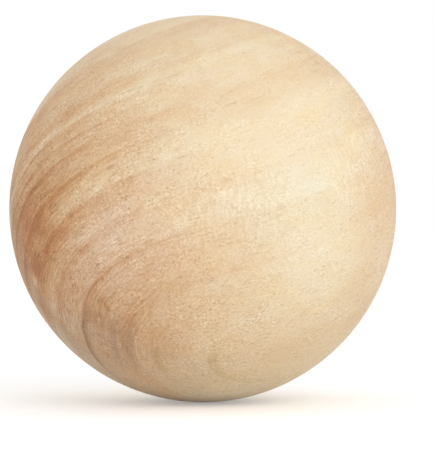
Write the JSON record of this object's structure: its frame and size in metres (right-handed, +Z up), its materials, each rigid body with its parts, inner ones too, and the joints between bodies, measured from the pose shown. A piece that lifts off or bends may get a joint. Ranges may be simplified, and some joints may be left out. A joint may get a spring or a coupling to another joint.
{
  "type": "wooden ball",
  "caption": "Solid turned wooden ball, a true sphere of pale smooth-sanded hardwood, used loose or as a stopper that sits in a round jar mouth.",
  "frame": {"origin": "centre of the ball", "axes": "+Z up; the face that the picture shows looks towards -Y; +X is to the right of that face. Every axis through the centre is an axis of symmetry of the form"},
  "size_m": [0.07, 0.07, 0.07],
  "materials": {
    "wood": "sanded, unvarnished satin"
  },
  "bodies": {
    "root": {"ball": "wood"}
  },
  "joints": []
}
